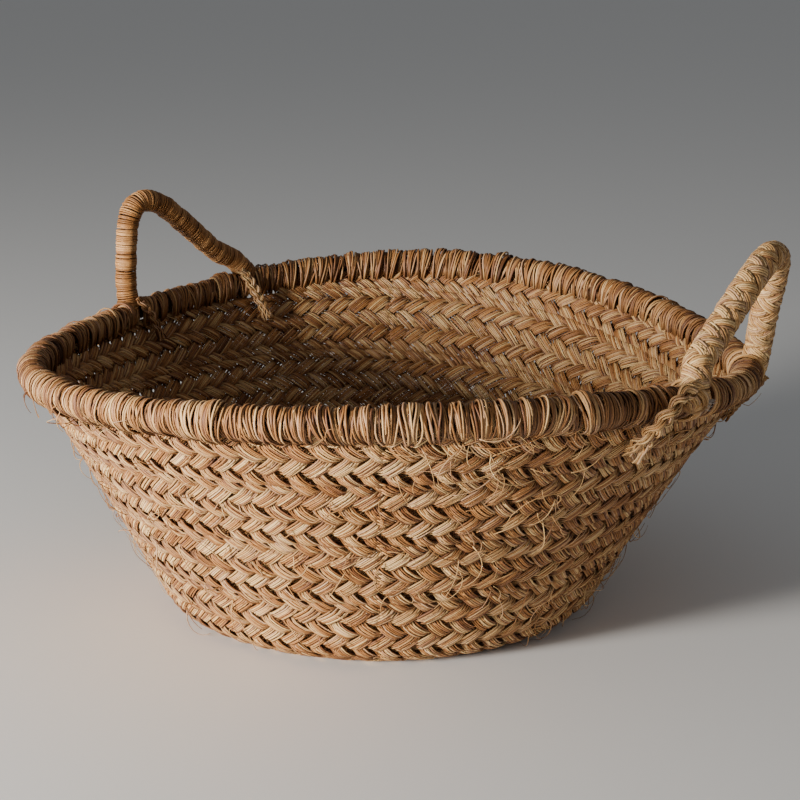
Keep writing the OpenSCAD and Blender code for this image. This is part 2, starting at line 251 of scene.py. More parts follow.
# Colour of dry grass: dark, middle and pale mixed by the blade's own tone, with blotches along the blade,
# wider stains over the object, and painted shade in deep places and along the sides of each blade
def grassGroup():
    group = bpy.data.node_groups.new("grassBlade", "ShaderNodeTree")
    for name in ("Dark", "Middle", "Pale"):
        group.interface.new_socket(name, in_out="INPUT", socket_type="NodeSocketColor")
    for name in ("Tone shift", "Stain", "Painted shade"):
        group.interface.new_socket(name, in_out="INPUT", socket_type="NodeSocketFloat")
    group.interface.new_socket("Colour", in_out="OUTPUT", socket_type="NodeSocketColor")
    group.interface.new_socket("Roughness", in_out="OUTPUT", socket_type="NodeSocketFloat")
    group.interface.new_socket("Height", in_out="OUTPUT", socket_type="NodeSocketFloat")
    nodes = group.nodes
    link = group.links.new
    given = nodes.new("NodeGroupInput")
    out = nodes.new("NodeGroupOutput")

    # Value that a piece's own points carry
    def attribute(name):
        node = nodes.new("ShaderNodeAttribute")
        node.attribute_name = name
        return node.outputs["Fac"]

    # One sum of up to three values or numbers
    def maths(kind, a, b=None, c=None):
        node = nodes.new("ShaderNodeMath")
        node.operation = kind
        for socket, value in zip(node.inputs, (a, b, c)):
            if value is None:
                continue
            if isinstance(value, (int, float)):
                socket.default_value = value
            else:
                link(value, socket)
        return node.outputs[0]

    # Soft noise between 0 and 1
    def noise(vector, scale, detail=2.0):
        node = nodes.new("ShaderNodeTexNoise")
        node.inputs["Scale"].default_value = scale
        node.inputs["Detail"].default_value = detail
        link(vector, node.inputs["Vector"])
        return node.outputs["Fac"]

    # Straight rise from 0 at low to top at high
    def ramp(value, low, high, top=1.0):
        node = nodes.new("ShaderNodeMapRange")
        link(value, node.inputs["Value"])
        node.inputs["From Min"].default_value = low
        node.inputs["From Max"].default_value = high
        node.inputs["To Max"].default_value = top
        return node.outputs[0]

    # One colour laid over another by a factor
    def mix(factor, a, b, kind="MIX"):
        node = nodes.new("ShaderNodeMix")
        node.data_type = "RGBA"
        node.blend_type = kind
        link(factor, node.inputs[0])
        for socket, value in ((node.inputs[6], a), (node.inputs[7], b)):
            if isinstance(value, tuple):
                socket.default_value = value
            else:
                link(value, socket)
        return node.outputs[2]

    where = nodes.new("ShaderNodeCombineXYZ")
    link(attribute("bladeAlong"), where.inputs[0])
    link(maths("MULTIPLY", attribute("bladeSeed"), 31.0), where.inputs[1])
    link(maths("MULTIPLY", attribute("bladeTone"), 17.0), where.inputs[2])
    blotch = noise(where.outputs[0], grassLook["blotchScale"], 3.0)
    place = nodes.new("ShaderNodeTexCoord")
    stain = noise(place.outputs["Object"], grassLook["stainScale"], 3.0)
    speck = noise(place.outputs["Object"], grassLook["speckScale"], 2.0)
    tone = maths("ADD", attribute("bladeTone"), given.outputs["Tone shift"])
    tone = maths("MULTIPLY_ADD", maths("SUBTRACT", blotch, 0.5), grassLook["blotchAmount"], tone)
    tone = maths("MULTIPLY_ADD", maths("SUBTRACT", speck, 0.5), grassLook["speckAmount"], tone)
    tone = maths("MULTIPLY_ADD", maths("SUBTRACT", stain, 0.5), given.outputs["Stain"], tone)
    colour = mix(ramp(tone, 0.0, 0.5), given.outputs["Dark"], given.outputs["Middle"])
    pale = ramp(tone, 0.5, 1.0)
    colour = mix(pale, colour, given.outputs["Pale"])
    pink = mix(pale, linear(*grassLook["blushDark"]), linear(*grassLook["blushPale"]))
    chance = maths("FRACT", maths("MULTIPLY_ADD", attribute("bladeSeed"), 7.3, stain))
    colour = mix(ramp(chance, grassLook["blushFrom"], 0.95, grassLook["blushAmount"]), colour, pink)
    # Painted shade: darker along the sides of each blade, and by each point's own amount of painted shade
    sideShade = ramp(maths("ABSOLUTE", attribute("bladeAcross")), grassLook["sideShadeFrom"], 1.0, grassLook["sideShadeAmount"])
    paintedShade = maths("MAXIMUM", maths("MULTIPLY", attribute("bladeDepth"), given.outputs["Painted shade"]), sideShade)
    colour = mix(paintedShade, colour, grassLook["paintedShadeColour"], "MULTIPLY")
    link(colour, out.inputs["Colour"])
    rough = maths("MULTIPLY_ADD", blotch, grassLook["blotchGloss"], grassLook["roughness"])
    link(rough, out.inputs["Roughness"])
    link(speck, out.inputs["Height"])
    return group


grass = grassGroup()


# A grass finish: the shared colour group, with the strength of its painted shade, in front of one plain
# shader
def grassMaterial(name, dark, middle, pale, shift=0.0, stain=0.5, paintedShade=0.6, bump=0.25):
    material = bpy.data.materials.new(name)
    material.use_nodes = True
    nodes = material.node_tree.nodes
    link = material.node_tree.links.new
    shader = nodes["Principled BSDF"]
    blade = nodes.new("ShaderNodeGroup")
    blade.node_tree = grass
    blade.inputs["Dark"].default_value = dark
    blade.inputs["Middle"].default_value = middle
    blade.inputs["Pale"].default_value = pale
    blade.inputs["Tone shift"].default_value = shift
    blade.inputs["Stain"].default_value = stain
    blade.inputs["Painted shade"].default_value = paintedShade
    raised = nodes.new("ShaderNodeBump")
    raised.inputs["Strength"].default_value = bump
    raised.inputs["Distance"].default_value = 0.0004
    link(blade.outputs["Height"], raised.inputs["Height"])
    link(raised.outputs["Normal"], shader.inputs["Normal"])
    link(blade.outputs["Colour"], shader.inputs["Base Color"])
    link(blade.outputs["Roughness"], shader.inputs["Roughness"])
    shader.inputs["Specular IOR Level"].default_value = 0.35
    return material


plaitFinish = grassMaterial("plaitedGrass", linear(112, 64, 26), linear(190, 130, 72),
                            linear(246, 206, 142), paintedShade=0.75)
cordFinish = grassMaterial("sewingCord", linear(60, 36, 16), linear(96, 62, 32), linear(130, 92, 54))
ropeFinish = grassMaterial("coreRope", linear(70, 42, 20), linear(112, 72, 38), linear(150, 106, 62))
rimFinish = grassMaterial("rimGrass", linear(96, 58, 26), linear(172, 118, 66), linear(236, 192, 132),
                          paintedShade=0.75)
leftFinish = grassMaterial("leftHandleGrass", linear(92, 56, 24), linear(162, 110, 60),
                           linear(214, 164, 106))
rightFinish = grassMaterial("rightHandleGrass", linear(120, 76, 34), linear(204, 152, 92),
                            linear(250, 212, 150), shift=0.1)
downFinish = grassMaterial("paleDown", linear(170, 158, 140), linear(206, 196, 182), linear(236, 230, 220))
print("materials made")

# The plait: nine strands in two-by-two twill, laid on the bias
plait = {
    "strands": 9,
    "blades": 8,  # blades in a strand
    "spacing": 0.0135,  # distance between strands along the plait
    "samples": 20,  # points on each leg of a strand
    "lift": 0.00185,  # height of a strand over the middle of the plait
    "crown": 0.0005,  # extra height of the middle of a strand
    "sag": 0.0013,  # downward bow of the falling strands
    "halfWidth": 0.00068,  # half width of a blade
    "halfThick": 0.00046,
    "overlap": 0.0010,  # how far neighbouring turns overlap at the seam
    "corner": 0.997,  # 1 turns a strand sharply at the edges, less rounds it
    "turnSharpness": 6,  # how fast a strand changes from falling to rising
    "spread": 0.97,  # width of the blades of a strand together, as a share of the strand
    "fallingPull": 0.25,  # how far they draw together at the edges on the falling side
    "edgePull": 0.04,  # and on both sides
    "underSpread": 1.06,  # their width where the strand lies underneath
    "spreadNoise": 0.07,
    "bladeWander": 0.045,
    "strandWander": 0.0007,
    "bladeRise": 0.00022,
    "strandRise": 0.00018,
    "rimPinch": 0.35,  # how much flatter the plait is under the rim
    "widthNoise": 0.18,
    "tone": 0.55,
    "toneOfBlade": 0.12,
    "toneOfLeg": 0.36,
    "toneOfStrand": 0.18,
    "toneOfRising": 0.08,
}
plaitRandom = np.random.default_rng(7)
leg = plait["strands"] * plait["spacing"] / 2
fine = np.linspace(firstTurn, lastTurn, 6000)


# Inner edge of the plait after x turns: the coil's edge one turn before, but no nearer than the knot
def innerEdge(x):
    return np.maximum(coilEdge(x - 1) - plait["overlap"], basket["knotRadius"] + 0.0004)


# Outer edge of the plait after x turns: the coil's edge there, with a little overlap
def outerEdge(x):
    return coilEdge(x) + plait["overlap"]


middleAlong = np.minimum((innerEdge(fine) + outerEdge(fine)) / 2, plaitTop)
middleLine = basketPoint(coilDirection(fine), middleAlong, 0.0)
lengthAt = np.concatenate([[0], np.cumsum(np.linalg.norm(np.diff(middleLine, axis=0), axis=1))])
strandNoise = plaitRandom.uniform(-1, 1, (plait["strands"] * 4, 1024))
bladeNoise = plaitRandom.uniform(-1, 1, (plait["strands"] * plait["blades"] * 4, 1024))
bladeTone = plaitRandom.normal(0, 1, plait["strands"] * plait["blades"])


# Square wave with soft corners
def softSquare(c):
    return np.tanh(2.4 * c) / math.tanh(2.4)


# Blades of the plait between two places along it. Each strand falls and rises between the two edges as a
# triangle wave with rounded corners, over two strands and under two, and its blades lie side by side
def plaitBlades(start, end):
    count = plait["samples"]
    strand = np.repeat(np.arange(plait["strands"]), plait["blades"])
    blade = np.tile(np.arange(plait["blades"]), plait["strands"])
    f = (blade + 0.5) / plait["blades"]
    own = np.arange(len(strand))
    firstStep = np.floor(start / leg * count - (strand + f) * 2 / plait["strands"] * count).astype(int)
    steps = int(round((end - start) / leg * count))
    k = firstStep[:, None] + np.arange(steps + 1)
    phase = k / count
    row = own[:, None]
    strandRow = strand[:, None]
    sharp = plait["turnSharpness"]
    falling = 0.5 + 0.5 * np.tanh(sharp * np.sin(np.pi * phase)) / math.tanh(sharp)
    corner = plait["corner"]
    height = 0.5 + np.arcsin(corner * np.cos(np.pi * phase)) / (2 * math.asin(corner))
    edge = np.abs(2 * height - 1)
    floats = phase * plait["strands"] / 2
    gather = plait["spread"] - plait["fallingPull"] * edge**3 * falling - plait["edgePull"] * edge**4
    gather = gather + plait["spreadNoise"] * valueNoise(strandNoise, strandRow, floats)
    crossing = plait["strands"] * height
    wave = np.cos(np.pi * (crossing - 0.5) / 2)
    bare = falling * wave - (1 - falling) * wave
    gather = gather + (plait["underSpread"] - gather) * np.clip(-1.5 * bare, 0, 1)
    part = 0.5 + (f[:, None] - 0.5) * gather
    part = part + plait["bladeWander"] * valueNoise(bladeNoise, row, floats * 0.8)
    a0 = strandRow + part
    u = plait["spacing"] * a0 + leg * phase
    x = np.interp(u, lengthAt, fine)
    x = np.clip(x, firstTurn, lastTurn)
    inner = innerEdge(x)
    width = np.maximum(outerEdge(x) - inner, 0.002)
    overFalling = np.cos(np.pi * (crossing - part) / 2)
    overRising = -np.cos(np.pi * (crossing + part - 1) / 2)
    over = falling * softSquare(overFalling) + (1 - falling) * softSquare(overRising)
    sag = falling * np.clip(overFalling, 0, 1) * (1 - 0.45 * edge)
    v = width * height - plait["sag"] * sag * np.clip(width / 0.04, 0, 1)
    v = v + plait["strandWander"] * valueNoise(strandNoise, strandRow + plait["strands"], floats)
    m = inner + v
    crown = plait["crown"] * (1 - (2 * f[:, None] - 1) ** 2)
    lift = plait["lift"] + plait["bladeRise"] * valueNoise(bladeNoise, row + len(own), floats)
    lift = lift * over + crown * np.sign(over)
    lift = lift + plait["strandRise"] * valueNoise(strandNoise, strandRow + 2 * plait["strands"], floats)
    hidden = np.clip((m - plaitTop) / 0.002, 0, 1)
    m = np.minimum(m, plaitTop + 0.001 * np.tanh((m - plaitTop) / 0.01))
    lift = lift * (1 - plait["rimPinch"] * hidden)
    t = coilDirection(x)
    centre = basketPoint(t, m, lift)
    # The tone changes from leg to leg, since real blades are far shorter than the plait
    tone = plait["tone"] + plait["toneOfBlade"] * bladeTone[row % len(bladeTone)]
    tone = tone + plait["toneOfLeg"] * valueNoise(bladeNoise, row + 2 * len(own), floats * 0.5)
    tone = tone + plait["toneOfStrand"] * valueNoise(strandNoise, strandRow + 3 * plait["strands"], floats)
    tone = tone + plait["toneOfRising"] * (1 - falling)
    # Painted shade where a strand dives between over and under, at the sides of a strand, and more where it
    # lies under
    depth = np.clip(1 - np.abs(over), 0, 1) * 0.8 + 0.25 * np.abs(2 * f[:, None] - 1) ** 3
    depth = depth + 0.35 * (over < 0)
    wide = plait["widthNoise"] * valueNoise(bladeNoise, row + 3 * len(own), floats)
    wide = plait["halfWidth"] * (1 + wide)
    wide = wide * (0.88 + 0.12 * np.clip(gather / 0.9, 0, 1.4))
    return tubes(centre, outward(t, m), wide, plait["halfThick"], tone, depth)


# The turns of the plait, from the centre to the end; the longest two are made in halves
turnNames = [
    ("centre_turn", "centreTurn"),
    ("base_turn", "baseTurn"),
    ("heel_turn", "heelTurn"),
    ("lower_wall_turn", "lowerWallTurn"),
    ("middle_wall_turn", "middleWallTurn"),
    ("upper_wall_turn", "upperWallTurn"),
    ("rim_turn", "rimTurn"),
    ("end_turn", "endTurn"),
]
halvedTurns = ("upper_wall_turn", "rim_turn")
stepLength = leg / plait["samples"]


# Whole number of sample steps nearest to a place on the coil
def stepAt(x):
    return int(round(np.interp(x, fine, lengthAt) / stepLength))


for number, (node, name) in enumerate(turnNames):
    begin = max(number, firstTurn)
    stop = min(number + 1, lastTurn)
    cuts = [begin, (begin + stop) / 2, stop] if node in halvedTurns else [begin, stop]
    for half in range(len(cuts) - 1):
        label = name + ("First", "Second")[half] if node in halvedTurns else name
        blades = plaitBlades(stepAt(cuts[half]) * stepLength, stepAt(cuts[half + 1]) * stepLength)
        makePiece(label, [blades], plaitFinish, [node])

# The sewing cord: two plies twisted together along the seam
cord = {
    "plyRadius": 0.0008,
    "twistRadius": 0.0007,
    "lay": 0.009,  # length of one full twist
    "step": 0.0014,  # distance between points
    "slack": 0.03,  # a little more length than the seam
    "tone": 0.4,
}


# Twisted plies round a centre line: each ply circles the line once in every lay
def pliesRound(centre, side, up, plies, twistRadius, plyRadius, lay, tone, sides=6):
    step = np.linalg.norm(np.diff(centre, axis=0), axis=1)
    along = np.concatenate([[0], np.cumsum(step)])
    angle = 2 * np.pi * (along[None] / lay + np.arange(plies)[:, None] / plies)
    ply = centre[None] + twistRadius * (np.cos(angle)[..., None] * side + np.sin(angle)[..., None] * up)
    away = unit(ply - centre[None])
    return tubes(ply, away, plyRadius, plyRadius, tone, 0.2, sides)


seamNames = ["centre", "base", "heel", "lower", "middle", "upper", "rim"]
for number, name in enumerate(seamNames):
    begin = max(number, firstTurn)
    stop = lastTurn - 1 if name == "rim" else number + 1
    length = float(np.interp(stop, fine, lengthAt) - np.interp(begin, fine, lengthAt)) + cord["slack"]
    x = np.linspace(begin, stop, int(length / cord["step"]))
    t = coilDirection(x)
    m = coilEdge(x)
    line = basketPoint(t, m, 0.0)
    up = outward(t, m)
    side = unit(np.cross(up, np.gradient(line, axis=0)))
    plies = pliesRound(line, side, up, 2, cord["twistRadius"], cord["plyRadius"], cord["lay"], cord["tone"])
    makePiece(name + "Stitching", [plies], cordFinish, [name + "_stitching"])

# The knot at the centre of the base: a flat spiral of cord that swells and shrinks three times on its
# way up
knot = {
    "radius": 0.0042,
    "turns": 6,
    "low": 0.0012,
    "rise": 0.0040,
    "cordRadius": 0.0011,
}
knotWay = np.linspace(0, 1, 160)
knotAngle = 2 * np.pi * knot["turns"] * knotWay
knotSwell = 0.25 + 0.75 * np.abs(np.cos(3 * np.pi * knotWay))
knotRadius = knot["radius"] * np.sin(np.pi * knotWay) ** 0.5 * knotSwell
knotLine = np.stack([knotRadius * np.cos(knotAngle), knotRadius * np.sin(knotAngle),
                     knot["low"] + knot["rise"] * knotWay], -1)[None]
knotUp = np.broadcast_to([0.0, 0.0, 1.0], knotLine.shape)
knotCord = tubes(knotLine, knotUp, knot["cordRadius"], knot["cordRadius"], 0.35, 0.2, 6)
makePiece("centreKnot", [knotCord], cordFinish, ["centre_knot"])
print("body made")

# The rim: a three-ply rope bound by bundles of blades that loop over it
rim = {
    "bundles": 128,
    "blades": 12,
    "innerBlades": 7,  # blades in the bundles of the inner layer
    "innerSize": 0.82,  # size of the inner layer beside the outer one
    "points": 15,
    "halfHeight": 0.0090,
    "halfWidth": 0.0083,
    "bladeHalfWidth": 0.00072,
    "bladeHalfThick": 0.00052,
    "arc": 150,  # degrees from the top of a loop to either end
    "topFan": (0.92, 1.22),  # width of a bundle on top, as a share of its space
    "lowFan": (0.20, 0.46),  # and where it enters the wall
    "sweep": (0.32, 0.22),  # mean and spread of the slant of a bundle
    "bundleJitter": 0.10,
    "bladeJitter": 0.05,
    "bow": (0.06, 0.035),
    "looseness": 0.035,
    "looseShare": 0.05,  # share of blades that stand away from their bundle
    "looseReach": (0.03, 0.14),
    "bundleSize": (1.02, 0.055),
    "toneOfBlade": 0.22,
    "toneOfBundle": 0.10,
    "plies": 3,
    "plyRadius": 0.0025,
    "twistRadius": 0.0024,
    "ropeLay": 0.034,
    "ropeTone": 0.35,
}
ropeTurn = np.linspace(0, 2 * np.pi, 561)[:-1]
ropeLine = basketPoint(ropeTurn, np.full_like(ropeTurn, rimAlong), 0.0)
ropeUp = outward(ropeTurn, np.full_like(ropeTurn, rimAlong))
ropeSide = unit(np.cross(ropeUp, np.roll(ropeLine, -1, axis=0) - np.roll(ropeLine, 1, axis=0)))
ropePlies = pliesRound(ropeLine, ropeSide, ropeUp, rim["plies"], rim["twistRadius"], rim["plyRadius"],
                       rim["ropeLay"], rim["ropeTone"])
makePiece("rimRope", [ropePlies], ropeFinish, ["rim_rope"])


# Loops over the rim: each blade runs from the wall outside, over the rope, to the wall inside on a rounded
# path, and the blades of a bundle fan out on top and draw together where they enter the wall
def rimLoops(bundles, number, scale, seed):
    rng = np.random.default_rng(seed)

    # A bundle's value handed to each of its blades, as a column
    def perBundle(values):
        return values[pick][:, None]

    bundle = np.repeat(bundles, number)
    blade = np.tile(np.arange(number), len(bundles))
    rows = len(bundle)
    s = np.linspace(-1, 1, rim["points"])[None]
    pick = np.repeat(np.arange(len(bundles)), number)
    space = 2 * np.pi / rim["bundles"]
    start = (bundle + rng.normal(0, rim["bundleJitter"], len(bundles))[pick]) * space
    fan = (blade - (number - 1) / 2) / number
    fan = fan + rng.normal(0, rim["bladeJitter"], rows)
    topFan = perBundle(rng.uniform(*rim["topFan"], len(bundles)))
    lowFan = perBundle(rng.uniform(*rim["lowFan"], len(bundles)))
    fanned = topFan + (lowFan - topFan) * np.abs(s) ** 1.7
    sweep = perBundle(rng.normal(*rim["sweep"], len(bundles)))
    drift = sweep * np.clip(s, 0, 1) ** 1.5 + 0.5 * sweep * np.clip(-s, 0, 1) ** 1.5
    bow = rng.normal(0, rim["bow"][0], rows)[:, None] * np.sin(np.pi * s)
    bow = bow + rng.normal(0, rim["bow"][1], rows)[:, None] * np.cos(2 * np.pi * s)
    t = start[:, None] + space * (fan[:, None] * fanned + drift + bow)
    angle = np.radians(rim["arc"]) * s
    loose = 1 + rng.normal(0, rim["looseness"], rows)
    standing = rng.uniform(0, 1, rows) < rim["looseShare"]
    loose = loose + standing * rng.uniform(*rim["looseReach"], rows)
    size = loose[:, None] * scale * perBundle(rng.normal(*rim["bundleSize"], len(bundles)))
    across = rim["halfWidth"] * np.sin(angle) * (1 - 0.42 * np.abs(s) ** 7) * size
    above = rim["halfHeight"] * np.cos(angle) * size - 0.0030 * np.abs(s) ** 6
    above = above - 0.0032 * np.abs(fan)[:, None]
    m = rimAlong + above
    centre = basketPoint(t, m, across)
    hub = basketPoint(t, np.full_like(t, rimAlong - 0.002), 0.0)
    tone = 0.5 + rng.normal(0, rim["toneOfBlade"], rows)[:, None]
    tone = tone + perBundle(rng.normal(0, rim["toneOfBundle"], len(bundles)))
    # Painted shade towards the ends of a loop, where it enters the wall, and at the sides of a bundle
    depth = np.clip(np.abs(s) * 1.2 - 0.5, 0, 1) * 0.8 + 0.2 * np.abs(fan)[:, None]
    wide = rim["bladeHalfWidth"] * rng.normal(1, 0.12, rows)[:, None]
    return tubes(centre, unit(centre - hub), wide, rim["bladeHalfThick"], tone, depth)


halfRim = rim["bundles"] // 2
for half, label in enumerate(("rimBindingFront", "rimBindingBack")):
    bundles = np.arange(halfRim) + halfRim * (half + 1)
    outer = rimLoops(bundles, rim["blades"], 1.0, 11 + half)
    inner = rimLoops(bundles + 0.5, rim["innerBlades"], rim["innerSize"], 15 + half)
    makePiece(label, [outer, inner], rimFinish, ["rim_binding"])
print("rim made")

# Handles: a smooth line through a few points, in the upright plane of its two feet, leaning outwards
leftHandle = {
    "near": (179.0, 0.003, 0.0192),  # a foot: direction, distance outside the rim, height above it
    "far": (154.5, 0.001, 0.0194),
    "nearRoot": (179.0, 0.003, 0.000),  # a root: direction, distance above the rim line and outside it
    "farRoot": (151.2, 0.004, -0.001),
    "lean": 0.0,  # degrees
    "line": [(0, 0), (0.01, 0.010), (0.04, 0.030), (0.08, 0.046), (0.16, 0.055), (0.27, 0.055), (0.4, 0.0485),
             (0.6, 0.031), (0.83, 0.0095), (1, 0)],
    "radius": 0.0074,
    "twine": 0.00056,  # radius of the wrapping twine
    "twinePitch": 0.00094,
    "twineSwell": 0.00042,  # slow change of the radius of the wrap
    "twineRipple": 0.00030,  # quick change of it
    "twineShove": 0.0007,  # how far turns are pushed together along the handle
}
rightHandle = {
    "near": (-8.0, 0.002, 0.0204),
    "far": (30.0, 0.008, 0.0190),
    "nearRoot": (-11.5, 0.006, 0.0065),
    "farRoot": (30.0, 0.003, 0.004),
    "lean": 17.0,
    "line": [(0, 0), (0.08, 0.009), (0.2, 0.0235), (0.34, 0.041), (0.47, 0.053), (0.58, 0.0575),
             (0.69, 0.0545), (0.79, 0.041), (0.86, 0.024), (0.95, 0.0075), (1, 0)],
    "radius": 0.0084,
    "strands": 4,  # bundles wound each way
    "blades": 5,
    "advance": 0.030,  # length of one turn of a bundle
    "bladeHalfWidth": 0.00098,
    "bladeHalfThick": 0.0006,
    "wander": 0.012,
    "cross": 0.00070,  # height of a bundle over another
    "crown": 0.0004,
}
handleRope = {
    "plies": 3,
    "twistRadius": 0.0022,
    "plyRadius": 0.0024,
    "lay": 0.03,
    "tone": 0.35,
    "points": 900,  # along the line of a handle
    "window": 41,  # points that are smoothed together
    "bendBelow": 0.005,  # a point this far below the middle of the feet, handed on but never used
    "bendAbove": 0.012,  # and one this far above it, also never used
}


# Foot of a handle: the rim line in a direction, moved outwards level and upwards
def footPoint(foot):
    t = math.radians(foot[0])
    point = basketPoint(np.array(t), np.array(rimAlong), 0.0)
    return point + foot[1] * np.array([math.cos(t), math.sin(t), 0]) + np.array([0, 0, foot[2]])


# Root of a handle in the rim: a point of the basket's surface near the rim line
def rootPoint(root):
    return basketPoint(np.array(math.radians(root[0])), np.array(rimAlong + root[1]), root[2])


# Even points on the cubic curve through the handle's points, led down from both feet into the rim, then
# smoothed, with the radius of the wrap falling to a round end at each root
def handleLine(handle):
    count = handleRope["points"]
    near, far = footPoint(handle["near"]), footPoint(handle["far"])
    along = unit(far - near)
    upright = unit(np.array([0, 0, 1.0]) - along * along[2])
    lean = math.radians(handle["lean"])
    up = math.cos(lean) * upright + math.sin(lean) * np.cross(along, upright)
    knots = np.array(handle["line"], float)
    padded = np.concatenate([knots[:1], knots, knots[-1:]])
    a, b, c, d = (padded[i:len(knots) - 1 + i, None] for i in range(4))
    u = np.linspace(0, 1, 24, endpoint=False)[None, :, None]
    curve = 0.5 * (2 * b + (c - a) * u + (2 * a - 5 * b + 4 * c - d) * u**2 + (3 * b - a - 3 * c + d) * u**3)
    curve = np.concatenate([curve.reshape(-1, 2), knots[-1:]])
    points = near + (far - near) * curve[:, :1] + up * curve[:, 1:]
    radius = handle["radius"]
    points = np.concatenate([[rootPoint(handle["nearRoot"])], points, [rootPoint(handle["farRoot"])]])
    first, last = unit(points[0] - points[1]), unit(points[-1] - points[-2])
    points = np.concatenate([[points[0] + first * radius * 0.8], points, [points[-1] + last * radius * 0.8]])
    window = np.hanning(handleRope["window"])
    window = window / window.sum()
    margin = handleRope["window"] // 2
    for _ in range(2):
        length = np.concatenate([[0], np.cumsum(np.linalg.norm(np.diff(points, axis=0), axis=1))])
        even = np.linspace(0, length[-1], count)
        points = np.stack([np.interp(even, length, points[:, i]) for i in range(3)], -1)
        wider = np.pad(points, ((margin, margin), (0, 0)), mode="reflect", reflect_type="odd")
        points = np.stack([np.convolve(wider[:, i], window, "valid") for i in range(3)], -1)
    run = unit(np.gradient(points, axis=0))
    across = np.broadcast_to(unit(np.cross(along, up)), points.shape)
    across = unit(across - run * np.sum(across * run, axis=1, keepdims=True))
    other = unit(np.cross(run, across))
    beyond = np.maximum(radius - even, even - (length[-1] - radius))
    size = np.sqrt(np.clip(1 - np.clip(beyond / radius, 0, 1) ** 2, 0.01, 1))
    middle = (near + far) / 2
    bend = (middle - up * handleRope["bendBelow"], middle + up * handleRope["bendAbove"])
    return points, across, other, even, size, bend


# Point round the line: the frame of the line read at each place, turned by an angle, at a radius
def around(line, length, angle, radius):
    points, across, other, even, size = line[:5]

    # Straight reading between the points of the line
    def read(part):
        return np.stack([np.interp(length, even, part[:, i]) for i in range(3)], -1)

    away = unit(read(across) * np.cos(angle)[..., None] + read(other) * np.sin(angle)[..., None])
    shrink = np.interp(length, even, size)
    return read(points) + away * (radius * shrink)[..., None], away


# Core rope of a handle: twisted plies along its line, a little short of both ends
def coreRope(name, line, body, nodes):
    points, across, other = (part[20:-20] for part in line[:3])
    plies = pliesRound(points, across, other, handleRope["plies"], handleRope["twistRadius"],
                       handleRope["plyRadius"], handleRope["lay"], handleRope["tone"])
    return makePiece(name, [plies], ropeFinish, nodes, body)


leftLine = handleLine(leftHandle)
leftBend = ("basket", "left_handle", *leftLine[5])
coreRope("leftHandleRope", leftLine, leftBend, ["left_handle_rope"])


# Twine wrap: one long helix along the line, whose radius swells and ripples and whose turns crowd in places
def twineWrap(handle, line, seed):
    rng = np.random.default_rng(seed)
    total = line[3][-1]
    turns = total / handle["twinePitch"]
    way = np.linspace(0, 1, int(turns * 18))
    bumps = rng.uniform(-1, 1, (3, 512))
    first = np.zeros(len(way), int)
    radius = handle["radius"] - handle["twine"]
    radius = radius + handle["twineSwell"] * valueNoise(bumps, first, way * 40)
    radius = radius + handle["twineRipple"] * valueNoise(bumps, first + 1, way * 500)
    shove = handle["twineShove"] * valueNoise(bumps, first + 2, way * 300)
    centre, away = around(line, np.clip(total * way + shove, 0, total), 2 * np.pi * turns * way, radius)
    tone = 0.5 + 0.25 * valueNoise(bumps, first, way * 60) + 0.2 * valueNoise(bumps, first + 1, way * 160)
    return tubes(centre[None], away[None], handle["twine"] * 1.2, handle["twine"], tone[None], 0.0, 5)


leftTwine = twineWrap(leftHandle, leftLine, 3)
makePiece("leftHandleWrap", [leftTwine], leftFinish, ["left_handle_wrap"], leftBend)

rightLine = handleLine(rightHandle)
rightBend = ("basket", "right_handle", *rightLine[5])
coreRope("rightHandleRope", rightLine, rightBend, ["right_handle_rope"])


# Crossed wrap: as many bundles wound to the right as to the left, each over two and under two of the others
def crossedWrap(handle, line, seed):
    rng = np.random.default_rng(seed)
    total = line[3][-1]
    strands, number = handle["strands"], handle["blades"]
    rows = strands * number
    strand = np.repeat(np.arange(strands), number)[:, None]
    f = ((np.tile(np.arange(number), strands) + 0.5) / number)[:, None]
    noise = rng.uniform(-1, 1, (rows * 3, 256))
    row = np.arange(rows)[:, None]
    length = np.linspace(0, total, int(total / 0.0018))[None]
    sets = []
    for hand in (1, -1):
        steps = length / handle["advance"] * strands
        own = 0.5 + (f - 0.5) * 0.94 + 0.05 * valueNoise(noise, row, steps)
        turn = (strand + own) / strands + hand * length / handle["advance"]
        turn = turn + handle["wander"] * valueNoise(noise, strand + rows, steps)
        shift = 0 if hand == 1 else -1
        over = hand * softSquare(np.cos(np.pi * (own + hand * 2 * steps + shift) / 2))
        crown = handle["crown"] * (1 - (2 * f - 1) ** 2)
        radius = handle["radius"] - 0.0013 + handle["cross"] * over + crown
        radius = radius + 0.00025 * valueNoise(noise, row + 2 * rows, steps)
        centre, away = around(line, np.broadcast_to(length, turn.shape), 2 * np.pi * turn, radius)
        tone = 0.55 + rng.normal(0, 0.13, (rows, 1)) + 0.15 * valueNoise(noise, row + rows, steps * 0.7)
        # Painted shade where a bundle passes under the bundles wound the other way
        depth = np.clip(0.5 - 0.5 * over, 0, 1) * 0.5
        sets.append(tubes(centre, away, handle["bladeHalfWidth"], handle["bladeHalfThick"], tone, depth))
    return sets


wrapSets = crossedWrap(rightHandle, rightLine, 5)
makePiece("rightHandleWrap", wrapSets, rightFinish, ["right_handle_wrap"], rightBend)


# Lashings at the feet of the handles
lashing = {
    "blades": 14,
    "arc": 146,  # degrees from the top of a loop to either end
    "halfWidth": 0.0103,
    "halfHeight": 0.0107,
    "groupWidth": 0.009,  # width of the blades on each side of the foot
    "spread": 0.55,
    "gap": 0.72,  # from the foot to the middle of each group, in group widths
    "slant": 0.10,
    "bladeHalfWidth": 0.00072,
    "bladeHalfThick": 0.0006,
}
rimRadius = 0.226


